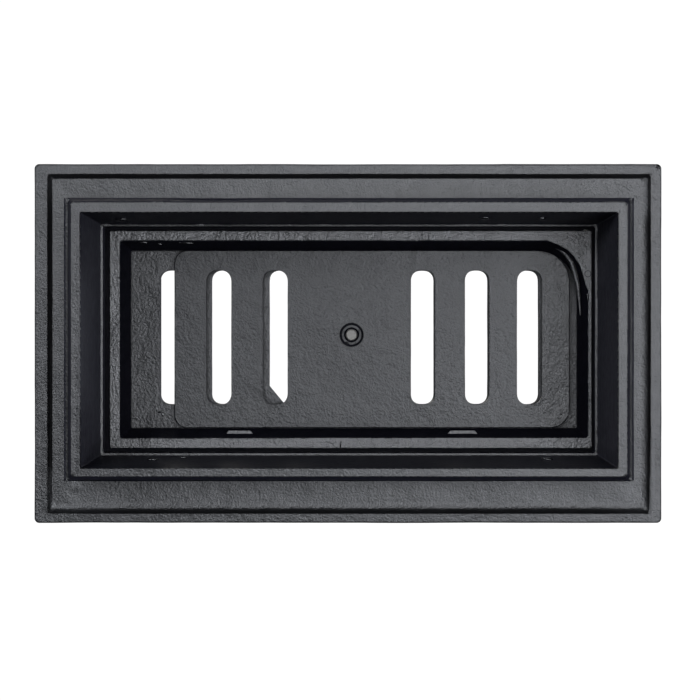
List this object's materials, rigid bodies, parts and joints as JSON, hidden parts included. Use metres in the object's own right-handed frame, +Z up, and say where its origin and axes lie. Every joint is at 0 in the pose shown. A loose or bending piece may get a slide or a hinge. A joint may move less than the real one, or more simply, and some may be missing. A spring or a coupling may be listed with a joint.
{
  "type": "ash pit door",
  "caption": "Cast iron ash pit door in a wall frame with a collar, hinged to open, with a sliding air damper and a turn latch.",
  "frame": {"origin": "centre of the collar, on the plane where the back of the frame's rim meets the wall", "axes": "+Y along the collar into the wall, +X along the long side towards the hinges, +Z up; the room is on the -Y side"},
  "size_m": [0.316, 0.0965, 0.181],
  "materials": {
    "frame_iron": "sand cast, satin black stove paint",
    "door_iron": "sand cast, satin black stove paint",
    "damper_iron": "fine cast, satin black stove paint",
    "lever_iron": "cast, satin black stove paint",
    "knob_iron": "turned and painted satin black",
    "stud_steel": "painted steel rivet end",
    "pin_steel": "painted steel",
    "fastener_steel": "plain steel, darkened"
  },
  "bodies": {
    "frame": {"frame": "frame_iron", "upper_hinge_pin": "pin_steel", "lower_hinge_pin": "pin_steel"},
    "door": {"door": "door_iron", "latch_washer": "fastener_steel", "latch_screw": "fastener_steel"},
    "damper": {"damper_plate": "damper_iron", "damper_stud": "stud_steel", "damper_washer": "fastener_steel", "damper_nut": "fastener_steel", "damper_knob": "knob_iron"},
    "latch": {"latch_lever": "lever_iron"}
  },
  "joints": [
    {"name": "door_hinge", "type": "hinge", "parent": "frame", "child": "door", "pos_m": [0.139, -0.023, 0], "axis": [0, 0, 1], "range_deg": [0, 160]},
    {"name": "damper_slide", "type": "slide", "parent": "door", "child": "damper", "axis": [1, 0, 0], "range_m": [0, 0.013]},
    {"name": "latch_turn", "type": "hinge", "parent": "door", "child": "latch", "pos_m": [-0.1215, -0.0308, 0.05355], "axis": [0, -1, 0], "range_deg": [0, 90]}
  ]
}
